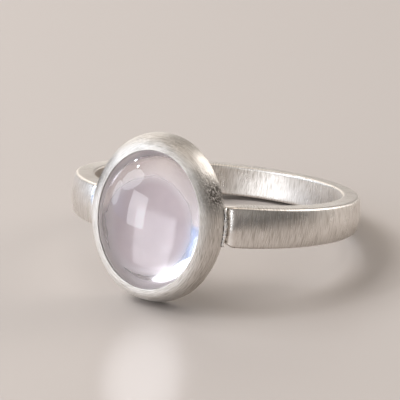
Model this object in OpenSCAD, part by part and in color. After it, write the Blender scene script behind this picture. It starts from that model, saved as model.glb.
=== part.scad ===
// A silver ring with one oval domed stone in a closed bezel, lying on its side.
// The band is round about Z and the stone faces -Y. The whole ring is then tipped about X, stone upwards,
// until the bezel's lower end and the far side of the band both touch the surface at z = 0.

/* [Band] */
// Inner diameter of the band
finger_d = 17; // [15:0.5:21]
// Thickness of the band beside the bezel
band_front_t = 1.6; // [1.3:0.1:1.6]
// Thickness of the band opposite the bezel
band_back_t = 1.2; // [1:0.1:1.3]
// Width of the band beside the bezel
band_front_w = 2.9; // [2.4:0.1:3.4]
// Width of the band opposite the bezel
band_back_w = 2.1; // [1.8:0.1:2.4]
// Radius of the crown across the band's outer face
band_crown_r = 4.5; // [3:0.5:5]
// Bevel on the long edges of the band
band_bevel = 0.2; // [0.15:0.05:0.35]

/* [Bezel] */
// Opening of the bezel across the finger
opening_w = 7.4; // [7:0.1:7.8]
// Opening of the bezel along the finger
opening_l = 9.2; // [8.8:0.1:9.8]
// Radius of the two ends of the oval opening
opening_end_r = 3.2; // [3:0.1:3.3]
// Height of the bezel from its flat back to the top of its lip
bezel_h = 1.95; // [1.8:0.05:2.2]
// Distance from the opening to the bezel's widest outline
rim_w = 1.1; // [1:0.05:1.3]
// Distance from the opening to the soft ridge between the rim's face and its outer wall
ridge_w = 0.4; // [0.35:0.05:0.5]
// Radius of the rim's rounded face
rim_face_r = 1.9; // [1.8:0.1:2.2]
// Bevel at the back edge of the bezel
bezel_bevel = 0.2; // [0.1:0.05:0.25]
// Thickness of the plate under the stone
plate_t = 0.4; // [0.3:0.05:0.45]
// Space between the finger and the bezel's flat back
finger_gap = 0.15; // [0.1:0.05:0.3]

/* [Stone] */
// Height of the dome above the lip
dome_h = 1.75; // [1.5:0.05:2]
// Slope of the dome where it passes the lip, across the finger
dome_slope = 57; // [50:1:60]
// Distance that the lip covers on each side of the stone
lip_cover = 0.3; // [0.25:0.05:0.35]
// Space between the stone and the metal
stone_gap = 0.06; // [0.04:0.01:0.08]

/* [Hidden] */
$fn = 96;

// The band's outer face is a circle set forward of the finger, so the band is thicker in front.
finger_r = finger_d / 2;
band_r = finger_r + (band_front_t + band_back_t) / 2;
band_shift = (band_front_t - band_back_t) / 2;
crown_center = band_r - band_crown_r;

// The planes of the band's two edges lean towards each other at the back.
band_mean_w = (band_front_w + band_back_w) / 2;
band_lean = atan((band_front_w - band_back_w) / 4 / band_r);
far = 3;

// Heights in the bezel are counted from the finger's axis, towards the side that the stone faces.
back_h = finger_r + finger_gap;
lip_h = back_h + bezel_h;

// The oval opening is four arcs, two at the ends and two longer ones along the sides.
end_shift = opening_l / 2 - opening_end_r;
end_excess = opening_w / 2 - opening_end_r;
side_shift = (end_shift * end_shift - end_excess * end_excess) / (2 * end_excess);
side_r = opening_w / 2 + side_shift;
join_angle = atan2(end_shift, side_shift);

// The rim's face is an arc about a point inside the opening. Its outer wall is an arc from the ridge
// to the widest outline, which lies one bevel above the back.
face_in = 0.45;
rim_in = 0.3;
ridge_drop = rim_face_r - sqrt(rim_face_r * rim_face_r - pow(ridge_w + face_in, 2));
wall_out = rim_w - ridge_w;
wall_fall = bezel_h - bezel_bevel - ridge_drop;
wall_r = (wall_out * wall_out + wall_fall * wall_fall) / (2 * wall_out);

// The dome is part of an ellipsoid. Where it passes the lip it is a stone_gap inside the opening, at the
// height dome_sink times its own half-height above its middle, which gives the wanted slope there.
neck_w = opening_w / 2 - stone_gap;
neck_l = opening_l / 2 - stone_gap;
dome_sink = 1 / (tan(dome_slope) * neck_w / dome_h - 1);
dome_rise = dome_h / (1 - dome_sink);
dome_w = neck_w / sqrt(1 - dome_sink * dome_sink);
dome_l = neck_l / sqrt(1 - dome_sink * dome_sink);
dome_base_h = lip_h - dome_sink * dome_rise;
girdle_share = (opening_w / 2 + lip_cover) / dome_w;
stone_base_h = back_h + plate_t + stone_gap;

// The tipped ring rests on the lower end of the bezel and on the far lower edge of the band.
bezel_foot_y = -(back_h + bezel_bevel);
bezel_foot_z = -(opening_l / 2 + rim_w);
band_foot_y = band_r - band_shift - band_bevel;
band_foot_z = -(band_mean_w / 2 - band_foot_y * tan(band_lean));
rest_tip = atan((band_foot_z - bezel_foot_z) / (band_foot_y - bezel_foot_y));
rest_lift = bezel_foot_y * sin(rest_tip) - bezel_foot_z * cos(rest_tip);

// The origin is below the middle of the tipped ring, between the front of the dome and the back of the
// band, where the crown of the outer face meets its bevel.
crown_span = band_crown_r - band_bevel + band_back_w / 2;
crown_end_z = (crown_span - sqrt(2 * band_crown_r * band_crown_r - crown_span * crown_span)) / 2;
crown_end_y = crown_center + crown_span - crown_end_z - band_shift;
back_y = crown_end_y * cos(rest_tip) + crown_end_z * sin(rest_tip);
front_y = -dome_base_h * cos(rest_tip)
    - sqrt(pow(dome_rise * cos(rest_tip), 2) + pow(dome_l * sin(rest_tip), 2));
rest_shift = -(front_y + back_y) / 2;

silver = [0.80, 0.77, 0.73];
crystal = [0.90, 0.84, 0.86, 0.5];

module at_rest() {
    translate([0, rest_shift, rest_lift]) rotate([-rest_tip, 0, 0]) children();
}

// Stands the bezel, drawn facing up with its long side along Y, at the front of the band.
module facing_front() {
    rotate([90, 0, 0]) children();
}

// Everything above one edge of the band, with that edge's bevels.
module edge_cut() {
    edge_h = band_mean_w / 2;
    over = 1;
    rotate([-band_lean, 0, 0]) {
        translate([0, 0, edge_h + far / 2]) cube([4 * band_r, 4 * band_r, far], center = true);
        translate([0, 0, edge_h - band_bevel - over])
            cylinder(h = band_bevel + 2 * over, r1 = finger_r - over, r2 = finger_r + band_bevel + over);
        translate([0, -band_shift, edge_h]) rotate_extrude()
            polygon([[band_r - band_bevel - over, over], [band_r + over, -band_bevel - over], [band_r + over, over]]);
    }
}

module band() {
    difference() {
        translate([0, -band_shift, 0]) rotate_extrude() intersection() {
            translate([crown_center, 0]) circle(r = band_crown_r);
            translate([finger_r - 1, -band_front_w]) square([far, 2 * band_front_w]);
        }
        edge_cut();
        mirror([0, 0, 1]) edge_cut();
    }
}

// Cross-section of the bezel's rim. X is the distance outwards from the opening, Y the height.
module rim_profile() {
    back_corner = rim_w - bezel_bevel;
    intersection() {
        translate([-face_in, lip_h - rim_face_r]) circle(r = rim_face_r);
        translate([rim_w - wall_r, back_h + bezel_bevel]) circle(r = wall_r);
        polygon([[-rim_in, back_h], [back_corner, back_h], [back_corner + 1, back_h + 1],
                 [back_corner + 1, lip_h + 1], [-rim_in, lip_h + 1]]);
    }
}

module rim_arc(r, half_angle) {
    rotate_extrude(angle = 2 * half_angle, start = -half_angle) translate([r, 0]) rim_profile();
}

module rim() {
    for (turn = [0, 180]) rotate([0, 0, turn]) {
        translate([-side_shift, 0, 0]) rim_arc(side_r, join_angle);
        translate([0, end_shift, 0]) rotate([0, 0, 90]) rim_arc(opening_end_r, 90 - join_angle);
    }
}

module plate() {
    plate_w = opening_w + ridge_w;
    plate_l = opening_l + ridge_w;
    translate([0, 0, back_h]) scale([plate_w / 2, plate_l / 2, 1]) cylinder(h = plate_t, r = 1);
}

// The stone facing up, grown by a margin on every side.
module cabochon(margin) {
    w = dome_w + margin;
    l = dome_l + margin;
    intersection() {
        translate([0, 0, dome_base_h]) scale([w, l, dome_rise + margin]) sphere(r = 1);
        translate([0, 0, stone_base_h - margin])
            scale([dome_w * girdle_share + margin, dome_l * girdle_share + margin, 1])
                cylinder(h = 2 * dome_rise, r = 1);
    }
}

module band_and_bezel() {
    color(silver) at_rest() difference() {
        union() {
            band();
            facing_front() rim();
            facing_front() plate();
        }
        facing_front() cabochon(stone_gap);
        cylinder(h = 4 * band_front_w, r = finger_r, center = true);
    }
}

module crystal_cabochon() {
    color(crystal) at_rest() facing_front() cabochon(0);
}

band_and_bezel();
crystal_cabochon();
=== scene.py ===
"""A silver ring with one oval domed pink stone, lying on its side on a pale floor."""
import math

import bpy
import numpy as np
from mathutils import Matrix, Quaternion, Vector, noise


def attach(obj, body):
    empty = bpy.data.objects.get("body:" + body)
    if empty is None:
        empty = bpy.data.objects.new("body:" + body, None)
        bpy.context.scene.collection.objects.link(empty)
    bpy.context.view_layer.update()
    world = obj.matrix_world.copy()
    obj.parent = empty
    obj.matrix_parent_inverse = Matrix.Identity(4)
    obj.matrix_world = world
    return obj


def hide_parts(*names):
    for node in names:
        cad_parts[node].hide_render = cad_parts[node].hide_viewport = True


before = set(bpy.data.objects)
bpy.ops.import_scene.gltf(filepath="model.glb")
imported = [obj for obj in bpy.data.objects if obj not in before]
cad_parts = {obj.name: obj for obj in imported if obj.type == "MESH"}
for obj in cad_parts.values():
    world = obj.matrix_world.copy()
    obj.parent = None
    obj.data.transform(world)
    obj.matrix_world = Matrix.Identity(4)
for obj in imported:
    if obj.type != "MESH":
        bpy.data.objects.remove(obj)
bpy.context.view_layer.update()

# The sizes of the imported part, in mm. The ring is drawn about the finger's axis Z with its stone facing -Y,
# and is then laid on its side. Heights in the bezel are counted from that axis, towards the stone.
FINGER_R = 17 / 2
FRONT_T, BACK_T = 1.6, 1.2
FRONT_W, BACK_W = 2.9, 2.1
CROWN_R = 4.5
OPENING_W, OPENING_L, END_R = 7.4, 9.2, 3.2
BEZEL_H, RIM_W, RIDGE_W = 1.95, 1.1, 0.4
FACE_R, FACE_IN = 1.9, 0.45
FINGER_GAP, PLATE_T, BEVEL = 0.15, 0.4, 0.2
DOME_H, DOME_SLOPE = 1.75, math.radians(57)
LIP_COVER, STONE_GAP = 0.3, 0.06

# The band's outer face is a circle set forward of the finger, and its two edges lean together at the back.
BAND_R = FINGER_R + (FRONT_T + BACK_T) / 2
BAND_SHIFT = (FRONT_T - BACK_T) / 2
BAND_HALF = (FRONT_W + BACK_W) / 4
BAND_LEAN = (FRONT_W - BACK_W) / 4 / BAND_R
MIDDLE_R = (FINGER_R + BAND_R) / 2

# The oval opening is four arcs, which join where the angle of their normal is JOIN_ANGLE.
END_SHIFT = OPENING_L / 2 - END_R
END_EXCESS = OPENING_W / 2 - END_R
SIDE_SHIFT = (END_SHIFT ** 2 - END_EXCESS ** 2) / (2 * END_EXCESS)
SIDE_R = OPENING_W / 2 + SIDE_SHIFT
JOIN_ANGLE = math.atan2(END_SHIFT, SIDE_SHIFT)

BACK_H = FINGER_R + FINGER_GAP
PLATE_TOP = BACK_H + PLATE_T
LIP_H = BACK_H + BEZEL_H
WALL_FOOT = BACK_H + BEVEL

# The dome is the top of an ellipsoid. GIRDLE is the share of its width that the stone has under the lip.
NECK_W = OPENING_W / 2 - STONE_GAP
NECK_L = OPENING_L / 2 - STONE_GAP
DOME_SINK = 1 / (math.tan(DOME_SLOPE) * NECK_W / DOME_H - 1)
DOME_UP = DOME_H / (1 - DOME_SINK)
DOME_W = NECK_W / math.sqrt(1 - DOME_SINK ** 2)
DOME_L = NECK_L / math.sqrt(1 - DOME_SINK ** 2)
DOME_BASE = LIP_H - DOME_SINK * DOME_UP
GIRDLE = (OPENING_W / 2 + LIP_COVER) / DOME_W
STONE_BASE = PLATE_TOP + STONE_GAP

# The ring is tipped until it rests on the bezel's lower end and on the far lower edge of the band.
FAR_Y = BAND_R - BAND_SHIFT - BEVEL
FAR_Z = FAR_Y * BAND_LEAN - BAND_HALF
FOOT_Z = -(OPENING_L / 2 + RIM_W)
TIP = math.atan((FAR_Z - FOOT_Z) / (FAR_Y + WALL_FOOT))
TIP_COS, TIP_SIN = math.cos(TIP), math.sin(TIP)
LIFT = -WALL_FOOT * TIP_SIN - FOOT_Z * TIP_COS

# The origin is half way between the dome's front and the back of the band, where its crown meets its bevel.
CROWN_SPAN = CROWN_R - BEVEL + BACK_W / 2
CROWN_Z = (CROWN_SPAN - math.sqrt(2 * CROWN_R ** 2 - CROWN_SPAN ** 2)) / 2
CROWN_Y = BAND_R - CROWN_R + CROWN_SPAN - CROWN_Z - BAND_SHIFT
BACK_END = CROWN_Y * TIP_COS + CROWN_Z * TIP_SIN
FRONT_END = -DOME_BASE * TIP_COS - math.hypot(DOME_UP * TIP_COS, DOME_L * TIP_SIN)
SHIFT = -(FRONT_END + BACK_END) / 2
CENTER = Vector((0, SHIFT, LIFT)) / 1000

# Colours of the silver: satin, in the strokes, where it is rubbed bright, and where it is left dark. BRIGHT
# also whitens the lip as a painted highlight.
SILVER, SCRATCH = (0.84, 0.80, 0.755), (0.40, 0.355, 0.30)
BRIGHT, OXIDE = (0.97, 0.95, 0.92), (0.10, 0.09, 0.08)
# The roughness of the satin finish.
BRUSHED = 0.34
# Places that the brush left dark and grainy: beside the band's end, above it, and on the rim's top.
# Each has its place, radius and softness in metres, and its strength.
PATCHES = [
    ((0.00445, -0.0073, 0.0079), 0.0011, 0.0006, 1.0),
    ((0.0034, -0.0077, 0.0092), 0.0006, 0.0005, 0.5),
    ((0.0014, -0.0068, 0.0109), 0.0010, 0.0009, 0.4),
]


def at_rest(points):
    """Local millimetres to the row frame in metres."""
    x, y, z = np.asarray(points, float).T
    return np.stack([x, y * TIP_COS + z * TIP_SIN + SHIFT, z * TIP_COS - y * TIP_SIN + LIFT], 1) / 1000


def facing(x, along, h):
    """A point of the bezel: across the finger, along it, and its height."""
    return np.stack([x, -h, along], -1)


def level(outline, h):
    """A ring of points at one height, through an outline given as its x and its y values."""
    x, y = outline
    return facing(x, y, np.full(len(x), h))


def arc(cx, cy, r, start, end, count):
    """Points on an arc, its angles in degrees."""
    turns = np.radians(np.linspace(start, end, count))
    return [(cx + r * math.cos(a), cy + r * math.sin(a)) for a in turns]


def lay_grid(u, v):
    """The finish's run in mm: u along each ring, and v from ring to ring."""
    return np.stack(np.broadcast_arrays(np.asarray(u)[None, :], np.asarray(v)[:, None]), -1)


def add_object(name, data):
    obj = bpy.data.objects.new(name, data)
    bpy.context.scene.collection.objects.link(obj)
    return obj


def ring_mesh(name, rings, lay, caps, kinds):
    """A mesh through rings of points, (rings, around, 3). caps closes it with one point at each end, and
    without caps it runs on from the last ring to the first. kinds holds each ring's material index."""
    count, around = rings.shape[:2]
    uv = np.concatenate([lay, 2 * lay[:, -1:] - lay[:, -2:-1]], 1)
    points = rings.reshape(-1, 3)
    faces, uvs, mats = [], [], []
    if caps is None:
        step = np.linalg.norm(rings[0] - rings[-1], axis=-1).mean()
        uv = np.concatenate([uv, uv[-1:] + [0, step]], 0)
    else:
        points = np.concatenate([points, caps])
    for i in range(len(uv) - 1):
        this, following = i * around, (i + 1) % count * around
        for j in range(around):
            k = (j + 1) % around
            faces.append((this + j, this + k, following + k, following + j))
            uvs += [uv[i, j], uv[i, j + 1], uv[i + 1, j + 1], uv[i + 1, j]]
            mats.append(kinds[(i + 1) % count])
    for end in range(0 if caps is None else 2):
        ring = end * (count - 1)
        for j in range(around):
            pair = (j, j + 1) if end else (j + 1, j)
            faces.append((*(ring * around + p % around for p in pair), count * around + end))
            uvs += [uv[ring, pair[0]], uv[ring, pair[1]], uv[ring, j]]
            mats.append(kinds[ring])
    mesh = bpy.data.meshes.new(name)
    mesh.from_pydata([tuple(p) for p in at_rest(points)], [], faces)
    mesh.uv_layers.new(name="lay").data.foreach_set("uv", np.array(uvs, np.float32).ravel())
    mesh.polygons.foreach_set("material_index", mats)
    mesh.polygons.foreach_set("use_smooth", [True] * len(mesh.polygons))
    mesh.update()
    return mesh


def piece(name, rings, lay, materials, caps=None, kinds=None,
          replaces="band_and_bezel"):
    rings = np.array(rings)
    mesh = ring_mesh(name, rings, lay, caps, kinds or [0] * len(rings))
    for material in materials:
        mesh.materials.append(material)
    obj = add_object(name, mesh)
    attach(obj, "root")
    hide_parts(replaces)


class Nodes:
    """Short ways to add nodes to a material or a world."""

    def __init__(self, owner):
        owner.use_nodes = True
        self.tree = owner.node_tree

    def feed(self, socket, value):
        if isinstance(value, bpy.types.NodeSocket):
            self.tree.links.new(value, socket)
        else:
            socket.default_value = value

    def node(self, kind, inputs=None, out=0, **settings):
        made = self.tree.nodes.new("ShaderNode" + kind)
        for key, value in settings.items():
            setattr(made, key, value)
        for key, value in (inputs or {}).items():
            self.feed(made.inputs[key], value)
        return made.outputs[out]

    def math(self, how, a, b=0.0, c=0.0):
        return self.node("Math", {0: a, 1: b, 2: c}, operation=how)

    def ramp(self, value, low, high, to_low=0.0, to_high=1.0):
        return self.node("MapRange", {0: value, 1: low, 2: high, 3: to_low, 4: to_high}, clamp=True)

    def mix(self, factor, a, b):
        """A mix of two colours, each three numbers or a node's output."""
        a, b = ((*value, 1) if isinstance(value, tuple) else value for value in (a, b))
        return self.node("Mix", {0: factor, 6: a, 7: b}, out=2, data_type="RGBA")

    def noise(self, where, scale, detail=2.0, stretch=(1, 1, 1)):
        laid = self.node("Mapping", {"Vector": where, "Scale": stretch})
        return self.node("TexNoise", {"Vector": laid, "Scale": scale, "Detail": detail})

    def part(self, vector, axis):
        return self.node("SeparateXYZ", {0: vector}, out=axis)

    def lay(self):
        return self.node("UVMap", uv_map="lay")

    def place(self):
        """Where a point is, in metres."""
        return self.node("TexCoord", out="Object")

    def spot(self, place, radius, soft):
        """1 near a place given in metres and 0 away from it, on both sides of the ring."""
        here = self.place()
        x = self.math("ABSOLUTE", self.part(here, "X"))
        folded = self.node("CombineXYZ", {0: x, 1: self.part(here, "Y"), 2: self.part(here, "Z")})
        far = self.node("VectorMath", {0: folded, 1: place}, out="Value", operation="DISTANCE")
        return self.ramp(far, radius - soft, radius + soft, 1.0, 0.0)


class Shader(Nodes):
    """A material with its Principled BSDF."""

    def __init__(self, name, color, metallic, rough):
        self.material = bpy.data.materials.new(name)
        super().__init__(self.material)
        self.bsdf = self.tree.nodes["Principled BSDF"]
        self.put("Base Color", (*color, 1))
        self.put("Metallic", metallic)
        self.put("Roughness", rough)

    def put(self, socket, value):
        self.feed(self.bsdf.inputs[socket], value)

    def bump(self, height, depth):
        self.put("Normal", self.node("Bump", {"Height": height, "Strength": 1.0, "Distance": depth}))


def brush_lines(s, rough, depth, joint=None, lip=None, patches=()):
    """Satin silver, brushed along the lay's first direction, with the depth of its bump in metres. joint and
    lip are 0 to 1 masks: a joint is polished smooth, and a lip is rubbed a little rougher and its colour
    whitened towards BRIGHT as a painted highlight. Each patch is left dark."""
    lay = s.lay()
    turned = s.node("Mapping", {"Vector": lay, "Rotation": (0, 0, 0.16)})
    strokes = s.noise(lay, 1.0, 4.0, (0.9, 11.0, 1.0))
    crossed = s.noise(turned, 1.0, 3.0, (1.2, 17.0, 1.0))
    hair = s.noise(lay, 1.0, 1.0, (1.4, 30.0, 1.0))
    cloudy = s.noise(s.place(), 420.0, 3.0)

    lines = s.math("MULTIPLY", s.math("ADD", strokes, crossed), 0.5)
    rubbed = s.ramp(cloudy, 0.36, 0.6, 0.55, 1.0)
    height = s.math("MULTIPLY", s.math("MULTIPLY_ADD", hair, 0.25, lines), rubbed)
    worn = s.math("MULTIPLY", s.ramp(lines, 0.53, 0.36, 0.0, 0.8), rubbed)
    bare_and_lip_sheen = s.math("MULTIPLY", s.ramp(crossed, 0.56, 0.68, 0.0, 0.8), rubbed)
    cloudy_satin = s.ramp(cloudy, 0.3, 0.7, rough + 0.04, rough - 0.04)
    satin = s.math("ADD", cloudy_satin, s.ramp(lines, 0.38, 0.6, 0.06, -0.06))
    if lip is not None:
        satin = s.math("MULTIPLY_ADD", lip, 0.2, satin)
        # Painted highlight: the lip's colour is whitened towards BRIGHT, standing in for the light its
        # rounded edge catches.
        bare_and_lip_sheen = s.math("MULTIPLY_ADD", lip, 0.2, bare_and_lip_sheen)
    color = s.mix(bare_and_lip_sheen, s.mix(worn, SILVER, SCRATCH), BRIGHT)
    if joint is not None:
        height = s.math("MULTIPLY", height, s.ramp(joint, 0.0, 1.0, 1.0, 0.15))
        satin = s.node("Mix", {0: joint, 2: satin, 3: 0.2})
        color = s.mix(joint, color, SILVER)
    for place, radius, soft, strength in patches:
        grain = s.noise(s.place(), 7000.0, 3.0)
        here = s.math("MULTIPLY", s.spot(place, radius, soft), strength)
        pits = s.math("MULTIPLY", here, s.ramp(grain, 0.62, 0.46, 0.6, 1.0))
        height = s.math("MULTIPLY_ADD", s.math("MULTIPLY", grain, here), 4.0, height)
        color = s.mix(pits, color, OXIDE)
    s.put("Base Color", color)
    s.put("Roughness", satin)
    s.bump(height, depth)
    s.put("Anisotropic", 0.6)
    s.put("Anisotropic Rotation", 0.25)
    s.put("Tangent", s.node("Tangent", direction_type="UV_MAP", uv_map="lay"))
    return s.material


def bezel_silver():
    """The lip is rubbed rougher and painted whiter as a highlight, up to a run of lip_start to lip_end from
    the pocket's first ring.
    """
    lip_start, lip_end = 5.9, 6.3
    s = Shader("brushed_silver", SILVER, 1.0, BRUSHED)
    lip = s.ramp(s.part(s.lay(), "Y"), lip_start, lip_end, 1.0, 0.0)
    return brush_lines(s, BRUSHED + 0.12, 2.8e-5, lip=lip, patches=PATCHES)


def band_silver():
    """Polished at both ends, which lie about joint_v round from the middle of the bezel."""
    joint_v = 4.66
    s = Shader("band_silver", SILVER, 1.0, BRUSHED)
    v = s.part(s.lay(), "Y")
    near = s.math("MINIMUM", v, s.math("SUBTRACT", 2 * math.pi * MIDDLE_R, v))
    joint = s.ramp(near, joint_v + 0.3, joint_v + 1.1, 1.0, 0.0)
    return brush_lines(s, BRUSHED, 3.4e-5, joint=joint)


def seam_silver():
    """Bright solder with dark pits in the corner, which is inside_u round the bead."""
    inside_u = 0.35
    s = Shader("seam_silver", SILVER, 1.0, 0.3)
    grain = s.noise(s.place(), 6500.0, 3.0)
    off = s.math("ABSOLUTE", s.math("SUBTRACT", s.part(s.lay(), "X"), inside_u))
    inside = s.ramp(off, 0.1, 0.2, 1.0, 0.0)
    pits = s.ramp(s.math("MULTIPLY_ADD", inside, -0.25, grain), 0.36, 0.30)
    s.put("Base Color", s.mix(pits, (0.96, 0.95, 0.93), (0.04, 0.035, 0.03)))
    s.put("Roughness", s.ramp(grain, 0.35, 0.65, 0.4, 0.25))
    s.bump(grain, 0.6e-5)
    return s.material


def pocket_silver():
    """Matt under the stone's middle, polished round it, and matt on the wall, whose colour is painted pale to
    lift the shade under the lip. The middle place lies a little low and to the left. It ends at a run of
    matt_v from the pocket's first ring, and the pale wall starts at wall_v."""
    matt_v, wall_v, middle_z = 1.25, 2.5, 0.0056
    s = Shader("pocket_silver", SILVER, 1.0, 0.3)
    v = s.part(s.lay(), "Y")
    place = s.place()
    cloudy = s.noise(place, 700.0, 3.0)
    aside = s.math("MULTIPLY_ADD", s.part(place, "X"), 140.0, v)
    above = s.math("SUBTRACT", s.part(place, "Z"), middle_z)
    shifted = s.math("MULTIPLY_ADD", above, 150.0, aside)
    wavy = s.math("MULTIPLY_ADD", cloudy, 0.8, s.math("SUBTRACT", shifted, 0.4))
    wall = s.ramp(v, wall_v, wall_v + 0.3)
    polished = s.math("MULTIPLY", s.ramp(wavy, matt_v, matt_v + 0.8), s.math("SUBTRACT", 1.0, wall))
    milky = s.mix(s.ramp(cloudy, 0.35, 0.65), (0.80, 0.70, 0.715), (0.70, 0.605, 0.625))
    # Painted light: the wall under the lip is made pale to lift the shade that falls there.
    milky = s.mix(wall, milky, (0.95, 0.88, 0.88))
    s.put("Base Color", s.mix(polished, milky, (0.97, 0.945, 0.955)))
    s.put("Metallic", polished)
    s.put("Roughness", s.ramp(polished, 0.0, 1.0, 0.6, 0.14))
    return s.material


def pink_crystal():
    """Clear with a pale pink tint, polished on the dome and satin on the base, whose rows end at base_v."""
    base_v = 0.5
    s = Shader("pink_crystal", (0.985, 0.965, 0.975), 0.0, 0.0)
    s.put("Transmission Weight", 1.0)
    s.put("IOR", 1.54)
    s.put("Roughness", s.ramp(s.part(s.lay(), "Y"), base_v, base_v + 0.2, 0.1, 0.0))
    return s.material


def table_top():
    return Shader("floor", (0.37, 0.333, 0.308), 0.0, 0.5).material


def oval(theta, out):
    """The outline of the opening, offset outwards, by the angle of its normal."""
    c, s = np.cos(theta), np.sin(theta)
    side = np.abs(np.tan(theta)) <= math.tan(JOIN_ANGLE)
    r = np.where(side, SIDE_R, END_R) + out
    x = r * c - np.where(side, SIDE_SHIFT, 0) * np.sign(c)
    y = r * s + np.where(side, 0, END_SHIFT) * np.sign(s)
    return x, y


def ellipse(polar, wide, long):
    r = 1 / np.sqrt((np.cos(polar) / wide) ** 2 + (np.sin(polar) / long) ** 2)
    return r * np.cos(polar), r * np.sin(polar)


def face_h(out):
    """The height of the rim's face at a distance outwards from the opening."""
    return LIP_H - FACE_R + math.sqrt(FACE_R ** 2 - (out + FACE_IN) ** 2)


def pocket_rings(polar):
    """The pocket's floor, its wall up to the stone's girdle, and the wall that follows the dome up to the
    lip, where it comes as near to the stone as lip_gap."""
    wall_top, cover_foot, cover_top, lip_gap = 9.78, 9.84, 10.47, 0.02
    wide, long = DOME_W * GIRDLE + STONE_GAP, DOME_L * GIRDLE + STONE_GAP
    rings = []
    for share in (0.15, 0.4, 0.65, 0.85, 0.95, 0.985, 1.0):
        rings.append(level(ellipse(polar, wide * share, long * share), PLATE_TOP))
    for h in np.linspace(PLATE_TOP + 0.03, wall_top, 10):
        rings.append(level(ellipse(polar, wide, long), h))
    for h in np.linspace(cover_foot, cover_top, 12):
        gap = STONE_GAP - (STONE_GAP - lip_gap) * (h - cover_foot) / (cover_top - cover_foot)
        share = math.sqrt(1 - ((h - DOME_BASE) / (DOME_UP + gap)) ** 2)
        rings.append(level(ellipse(polar, (DOME_W + gap) * share, (DOME_L + gap) * share), h))
    return rings


def lip_rings(start, end):
    """The lip's rounded edge, one curve from the ring at the stone to the ring on the rim's face."""
    stone_up, face_up, face_back = 0.085, 0.03, 0.3
    up = facing(0.0, 0.0, 1.0)
    rise = start + up * stone_up
    over = end - (end - start) * (face_back, 0.0, face_back) + up * face_up
    rings = []
    for t in np.linspace(0, 1, 9)[1:-1]:
        left = 1 - t
        first, last = left ** 3 * start, t ** 3 * end
        rings.append(first + 3 * left ** 2 * t * rise + 3 * left * t ** 2 * over + last)
    return rings


def outside_rings(theta, land):
    """The rim's face from the land on, its outer wall, the bevel at the back, and the flat back plate. The
    ridge between face and wall is softened: one stops a little before it and the other starts after it."""
    before_ridge, after_ridge = 0.06, 2.2
    wall_out, wall_fall = RIM_W - RIDGE_W, face_h(RIDGE_W) - WALL_FOOT
    wall_r = (wall_out ** 2 + wall_fall ** 2) / (2 * wall_out)
    ridge_angle = math.degrees(math.atan2(wall_fall, wall_r - wall_out))
    back_out = RIM_W - BEVEL
    profile = [(out, face_h(out)) for out in np.linspace(land, RIDGE_W - before_ridge, 9)]
    profile += arc(RIM_W - wall_r, WALL_FOOT, wall_r, ridge_angle - after_ridge, 0, 34)
    profile += arc(back_out, WALL_FOOT, BEVEL, 0, -90, 9)[1:]
    rings = [level(oval(theta, out), h) for out, h in profile]
    x, y = oval(theta, back_out)
    return rings + [level((x * share, y * share), BACK_H) for share in (0.93, 0.8, 0.6, 0.35, 0.12)]


def make_bezel(outer, inner, around=360):
    """The angles start a quarter of a step round, so that none is upright. The lay is measured along the
    outline lay_out outside the opening. The land is where the lip's round meets the rim's face."""
    lay_out, land = 0.8, 0.2
    theta = np.linspace(0, 2 * np.pi, around, endpoint=False) + 0.5 * np.pi / around
    x, y = oval(theta, 0)
    pocket = pocket_rings(np.arctan2(y, x))
    outside = lip_rings(pocket[-1], level(oval(theta, land), face_h(land))) + outside_rings(theta, land)
    rings = np.array(pocket + outside)
    v = np.cumsum(np.linalg.norm(np.diff(rings, axis=0), axis=-1).mean(1))
    x, y = oval(theta, lay_out)
    u = np.cumsum(np.hypot(np.diff(x), np.diff(y)))
    lay = lay_grid([0, *u], [0, *v])
    caps = (facing(0.0, 0.0, PLATE_TOP), facing(0.0, 0.0, BACK_H))
    kinds = [1] * len(pocket) + [0] * len(outside)
    piece("bezel", rings, lay, [outer, inner], caps, kinds)


def wall_x(z):
    """How far the bezel's widest outline reaches across the finger."""
    reach_z = 4
    return np.sqrt((SIDE_R + RIM_W) ** 2 - np.clip(z, -reach_z, reach_z) ** 2) - SIDE_SHIFT


def band_section(half, crown):
    """The band's cross-section as radii and heights, from its inner face over the upper edge to its outer
    face and back by the lower edge. crown is the middle of the outer face's arc."""
    inner_round, outer_round = 0.18, 0.25
    inner = FINGER_R + inner_round
    outer = crown + math.sqrt((CROWN_R - outer_round) ** 2 - (half - outer_round) ** 2)
    lean = math.degrees(math.atan2(half - outer_round, outer - crown))
    flat = [(FINGER_R, z) for z in np.linspace(inner_round - half, half - inner_round, 9)]
    edge = arc(inner, half - inner_round, inner_round, 180, 90, 8)[1:]
    edge += [(inner + (outer - inner) * share, half) for share in (0.2, 0.4, 0.6, 0.8)]
    edge += arc(outer, half - outer_round, outer_round, 90, lean, 10)
    face = arc(crown, 0, CROWN_R, lean, -lean, 25)[1:-1]
    return np.array(flat + edge + face + [(r, -z) for r, z in edge[::-1]]).T


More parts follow.
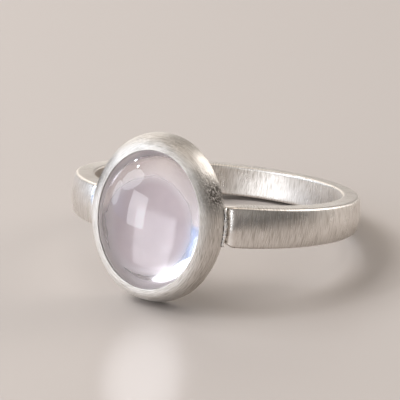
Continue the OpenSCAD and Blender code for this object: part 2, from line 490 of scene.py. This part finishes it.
def make_band(metal, around=520):
    """The band's ends are chamfered beside the bezel: run is the chamfer's length, slope its steepness and
    soft the round at its start. What runs on behind the bezel is sunk into its plate."""
    run, slope, soft = 0.55, 0.55, 0.06
    lower_cut, upper_cut = 0.8, 0.2
    hidden, sink = 0.1, 0.12
    phi = np.linspace(0, 2 * np.pi, around, endpoint=False)
    rings = []
    for p in phi:
        forward = math.cos(p)
        half = BAND_HALF + MIDDLE_R * forward * BAND_LEAN
        reach = BAND_SHIFT * forward + math.sqrt(BAND_R ** 2 - (BAND_SHIFT * math.sin(p)) ** 2)
        r, z = band_section(half, reach - CROWN_R)
        gap = np.full(len(r), MIDDLE_R)
        if forward > 0:
            gap = np.abs(r * math.sin(p)) - wall_x(z)
        left = run - np.maximum(gap, 0)
        drop = slope / 2 * (left + np.sqrt(left ** 2 + soft ** 2))
        r = r - drop * np.clip((r - FINGER_R) / (reach - FINGER_R), 0, 1)
        z = z * (1 - np.where(z < 0, lower_cut, upper_cut) * drop * np.abs(z) / half)
        y = -r * math.cos(p)
        y = np.where(gap < -hidden, np.maximum(y, -(BACK_H + sink)), y)
        rings.append(np.stack([r * math.sin(p), y, z], 1))
    u = np.cumsum(np.linalg.norm(np.diff(rings, axis=1), axis=-1).mean(0))
    piece("band", rings, lay_grid([0, *u], phi * MIDDLE_R), [metal])


def make_stone(crystal, around=256):
    """The base with its small round, the straight side, and the dome. The lay grows by row_v a row."""
    row_v = 0.1
    round_in, round_up = 0.025, 0.1
    above_round, below_girdle = 0.16, 0.04
    girdle_h = DOME_BASE + DOME_UP * math.sqrt(1 - GIRDLE ** 2)
    side = [(share, 0.0) for share in (0.2, 0.5, 0.8, 0.94, 1 - round_in)]
    for a in np.radians([18, 36, 54, 72, 90]):
        side.append((1 - round_in + round_in * math.sin(a), round_up * (1 - math.cos(a))))
    side += [(1.0, h - STONE_BASE) for h in np.linspace(STONE_BASE + above_round, girdle_h - below_girdle, 6)]
    rows = [(GIRDLE * share, STONE_BASE + up) for share, up in side]
    for a in np.linspace(math.acos(GIRDLE) + 0.012, math.pi / 2 - 0.02, 70):
        rows.append((math.cos(a), DOME_BASE + DOME_UP * math.sin(a)))
    t = np.linspace(0, 2 * np.pi, around, endpoint=False)
    rings = [level((DOME_W * share * np.cos(t), DOME_L * share * np.sin(t)), h) for share, h in rows]
    caps = (facing(0.0, 0.0, STONE_BASE), facing(0.0, 0.0, DOME_BASE + DOME_UP))
    lay = lay_grid(t * DOME_W, np.arange(len(rows)) * row_v)
    piece("cabochon", rings, lay, [crystal], caps, replaces="crystal_cabochon")


def seam_path(steps):
    """The seam as (y, z) points: forward along the band's lower edge, up across its end and back along its
    upper edge, with softened corners."""
    front, back, corner_y, corner_z, turn = 8.87, 8.68, 0.12, 0.1, 8
    end_forward, inset = 8.3, 0.12
    half = BAND_HALF + end_forward * BAND_LEAN - inset
    path = [(-h, -half) for h in np.linspace(back, front - corner_y, turn)]
    path += [(-front, z) for z in np.linspace(corner_z - half, half - corner_z, steps - 2 * turn)]
    path += [(-h, half) for h in np.linspace(front - corner_y, back, turn)]
    path = np.array(path)
    for _ in range(6):
        path[1:-1] = (path[:-2] + 2 * path[1:-1] + path[2:]) / 4
    return path


def make_seam(side, metal, steps=150, around=14):
    """The solder seam, a small uneven bead in the corner between one end of the band and the bezel."""
    bead_r, wide, deep, stand_off = 0.11, 1.15, 0.8, 0.07
    path = seam_path(steps)
    across = Vector((side, 0, 0))
    rings = []
    for i, (y, z) in enumerate(path):
        on = Vector((side * (wall_x(z) + stand_off), y, z))
        ahead = path[min(i + 1, steps - 1)] - path[max(i - 1, 0)]
        along = Vector((0, *ahead)).normalized()
        out = Vector((0, along.z, -along.y))
        uneven = noise.noise(on * 3.1) * 0.5 + noise.noise(on * 7.7) * 0.35
        r = bead_r * (1 + 0.9 * uneven) * min(1, 0.35 + 0.1 * min(i, steps - 1 - i))
        ring = []
        for a in np.linspace(0, 2 * math.pi, around, endpoint=False):
            way = across * math.cos(a) * wide + out * math.sin(a) * deep
            bump = 1 + 0.3 * noise.noise((on + way * 0.1) * 7.0)
            ring.append(on + way * r * bump)
        rings.append(ring)
    lay = lay_grid(np.arange(around) * 0.05, np.arange(steps) * 0.03)
    caps = (np.mean(rings[0], 0), np.mean(rings[-1], 0))
    piece("seam_right" if side > 0 else "seam_left", rings, lay, [metal], caps)


def make_floor(material, size=1.2, cells=24):
    line = np.linspace(-size, size, cells + 1)
    faces = []
    for j in range(cells):
        for i in range(cells):
            corner = j * (cells + 1) + i
            faces.append((corner, corner + 1, corner + cells + 2, corner + cells + 1))
    mesh = bpy.data.meshes.new("floor")
    mesh.from_pydata([(x, y, 0) for y in line for x in line], [], faces)
    mesh.materials.append(material)
    add_object("floor", mesh)


make_bezel(bezel_silver(), pocket_silver())
make_band(band_silver())
seam_metal = seam_silver()
for side in (-1, 1):
    make_seam(side, seam_metal)
make_stone(pink_crystal())
make_floor(table_top())

# The camera: its direction in degrees as seen from the ring before it was tipped, its distance in metres, its
# focal length in pixels of the picture, and how far the picture's middle is off the ring's in pixels.
CAMERA_AZ, CAMERA_EL, CAMERA_ROLL, CAMERA_DIST = 24.945, 10.086, 4.773, 0.26
PICTURE_PX, FOCAL_PX, OFF_X_PX, OFF_Y_PX = 400, 3789, 17.169, 0.432
SENSOR_MM = 36


def direction(az, el):
    """A unit vector by its azimuth, 0 towards -Y and 90 towards +X, and its elevation, in degrees."""
    a, e = math.radians(az), math.radians(el)
    return Vector((math.sin(a) * math.cos(e), -math.cos(a) * math.cos(e), math.sin(e)))


def make_camera():
    back = direction(CAMERA_AZ, CAMERA_EL)
    right = direction(CAMERA_AZ + 90, 0)
    upright = Matrix((right, back.cross(right), back)).transposed()
    look = Matrix.Rotation(-TIP, 3, "X") @ upright
    roll = Matrix.Rotation(math.radians(CAMERA_ROLL), 3, "Z")
    aim_x = Matrix.Rotation(math.atan(OFF_X_PX / FOCAL_PX), 3, "Y")
    aim_y = Matrix.Rotation(math.atan(OFF_Y_PX / FOCAL_PX), 3, "X")
    data = bpy.data.cameras.new("camera")
    data.sensor_width = SENSOR_MM
    data.lens = SENSOR_MM * FOCAL_PX / PICTURE_PX
    data.clip_start, data.clip_end = 0.02, 20
    camera = add_object("camera", data)
    place = Matrix.Translation(CENTER + look.col[2] * CAMERA_DIST)
    camera.matrix_world = place @ (look @ roll @ aim_x @ aim_y).to_4x4()
    bpy.context.scene.camera = camera


def shine(lamp, target, way, dist, turn=0):
    """Puts a lamp at a distance from its target and points it there."""
    lamp.location = target + way * dist
    lamp.rotation_mode = "QUATERNION"
    lamp.rotation_quaternion = way.to_track_quat("Z", "Y") @ Quaternion((0, 0, 1), math.radians(turn))


def softbox(name, az, el, wide, high, power, color, shape="ELLIPSE", turn=0):
    """A soft light that faces the ring, its size in metres and its power in watts."""
    far = 0.6
    data = bpy.data.lights.new(name, "AREA")
    data.shape = shape
    data.size, data.size_y = wide, high
    data.energy = power
    data.color = color
    lamp = add_object(name, data)
    shine(lamp, CENTER, direction(az, el), far, turn)
    lamp.visible_camera = False
    return lamp


def make_floor_patch():
    """The soft bright patch that the stone throws on the floor in front of the ring."""
    middle, far, el = Vector((0.0048, -0.0195, 0)), 0.3, 20
    data = bpy.data.lights.new("floor_patch", "SPOT")
    data.energy = 6.5
    data.color = (0.9, 0.98, 1.1)
    data.spot_size = math.radians(1.25)
    data.spot_blend = 1.0
    data.shadow_soft_size = 0.0003
    shine(add_object("floor_patch", data), middle, direction(CAMERA_AZ, el), far)


# Soft round glows far away: azimuth and elevation in degrees, how tight each is, and its colour.
GLOWS = [
    (8, 25, 5, (0.31, 0.285, 0.27)),
    (299, 8, 25, (0.6, 0.8, 1.2)),
    (185, 44, 12, (0.3, 0.27, 0.24)),
    (205, 9, 14, (0.6, 0.59, 0.58)),
    (232, 28, 20, (2.7, 2.5, 2.3)),
    (137, 26, 24, (6.0, 5.75, 5.5)),
    (58, 26, 70, (0.5, 0.48, 0.45)),
    (60, 86, 15, (1.7, 1.5, 1.3)),
]
DIM = (0.03, 0.03, 0.03)


def make_world():
    """An even dim light with the glows added to it."""
    world = bpy.data.worlds.new("studio")
    bpy.context.scene.world = world
    sky = Nodes(world)
    way = sky.node("TexCoord", out="Generated")
    total = DIM
    for az, el, tight, color in GLOWS:
        near = sky.node("VectorMath", {0: way, 1: direction(az, el)}, out="Value", operation="DOT_PRODUCT")
        glow = sky.math("EXPONENT", sky.math("MULTIPLY_ADD", near, tight, -tight))
        total = sky.node("VectorMath", {0: glow, 1: color, 2: total}, operation="MULTIPLY_ADD")
    sky.feed(sky.tree.nodes["Background"].inputs["Color"], total)


make_camera()
make_world()
COOL, NEUTRAL = (0.90, 0.96, 1.04), (0.93, 0.97, 1.02)
softbox("window_left", 302, 35, 0.43, 0.24, 0.9, COOL, turn=40)
softbox("window_front", 333, 14, 0.30, 0.34, 1.5, NEUTRAL, "RECTANGLE")
softbox("lamp_left", 266, 41, 0.04, 0.04, 0.17, COOL)
softbox("lamp_high", 288, 46, 0.04, 0.04, 0.35, COOL)
softbox("key_low", 285, 12, 0.2, 0.2, 0.3, COOL)
# The key shows in no reflection, so it can be strong enough for the shadow without burning out the metal.
key = softbox("key", 280, 50, 0.3, 0.3, 3.25, (0.99, 1.0, 1.02), "RECTANGLE")
key.visible_glossy = False
make_floor_patch()
bpy.context.scene.view_settings.view_transform = "Standard"
